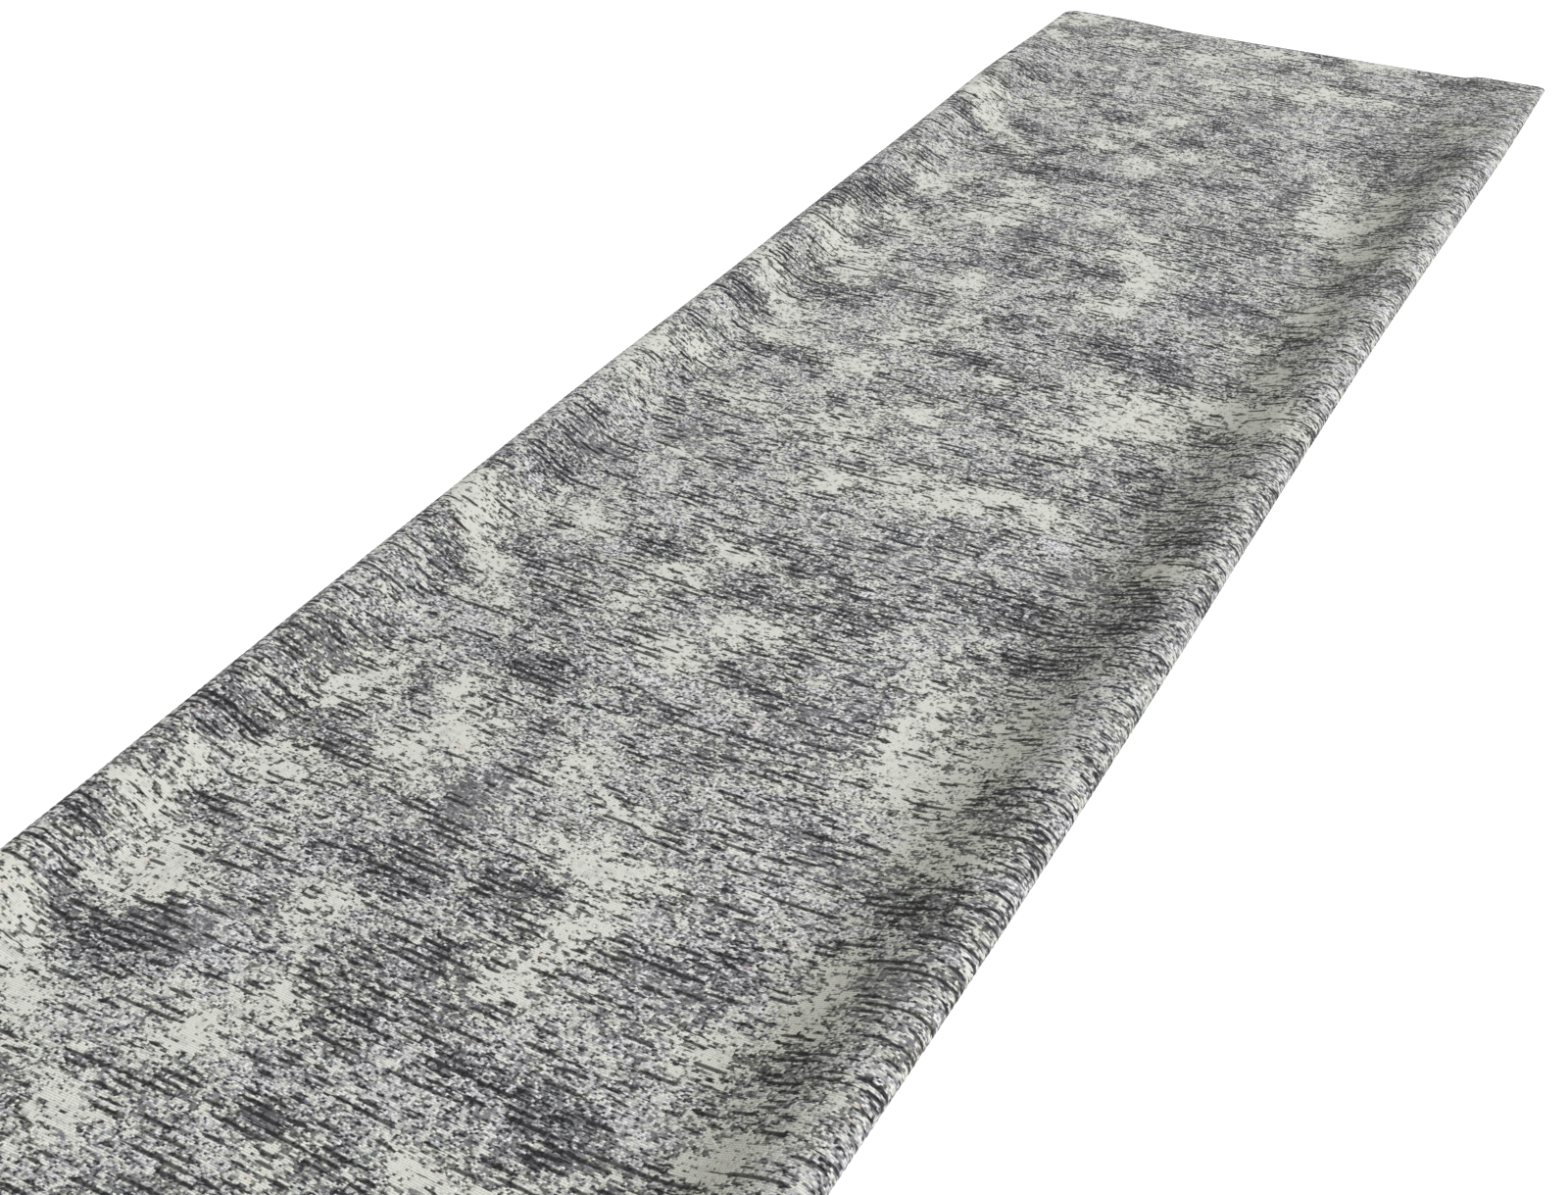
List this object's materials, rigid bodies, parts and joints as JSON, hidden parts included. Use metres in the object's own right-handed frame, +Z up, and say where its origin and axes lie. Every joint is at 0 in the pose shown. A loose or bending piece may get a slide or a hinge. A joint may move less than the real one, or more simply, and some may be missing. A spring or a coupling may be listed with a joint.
{
  "type": "runner rug",
  "caption": "Long narrow looped floor runner lying flat, both long sides turned under in soft round folds, with whipped ends, woven backing and a blank back label.",
  "frame": {"origin": "on the floor, under the middle of the rug", "axes": "+X across the rug to the right-hand fold, +Y along the rug to its far end, +Z up"},
  "size_m": [0.8, 3, 0.035],
  "materials": {
    "loop_pile": "matte",
    "ground_weave": "matte",
    "latex": "matte",
    "scrim": "matte",
    "whipping_yarn": "matte",
    "thread": "matte",
    "label_cloth": "satin"
  },
  "bodies": {
    "root": {"loop_face": "loop_pile", "ground_cloth": "ground_weave", "latex_coat": "latex", "backing_scrim": "scrim", "end_whipping_near": "whipping_yarn", "end_whipping_far": "whipping_yarn", "flap_whipping_left": "whipping_yarn", "flap_whipping_right": "whipping_yarn", "hem_tacks_left": "thread", "hem_tacks_right": "thread", "care_label": "label_cloth", "care_label_stitches": "thread"}
  },
  "joints": []
}
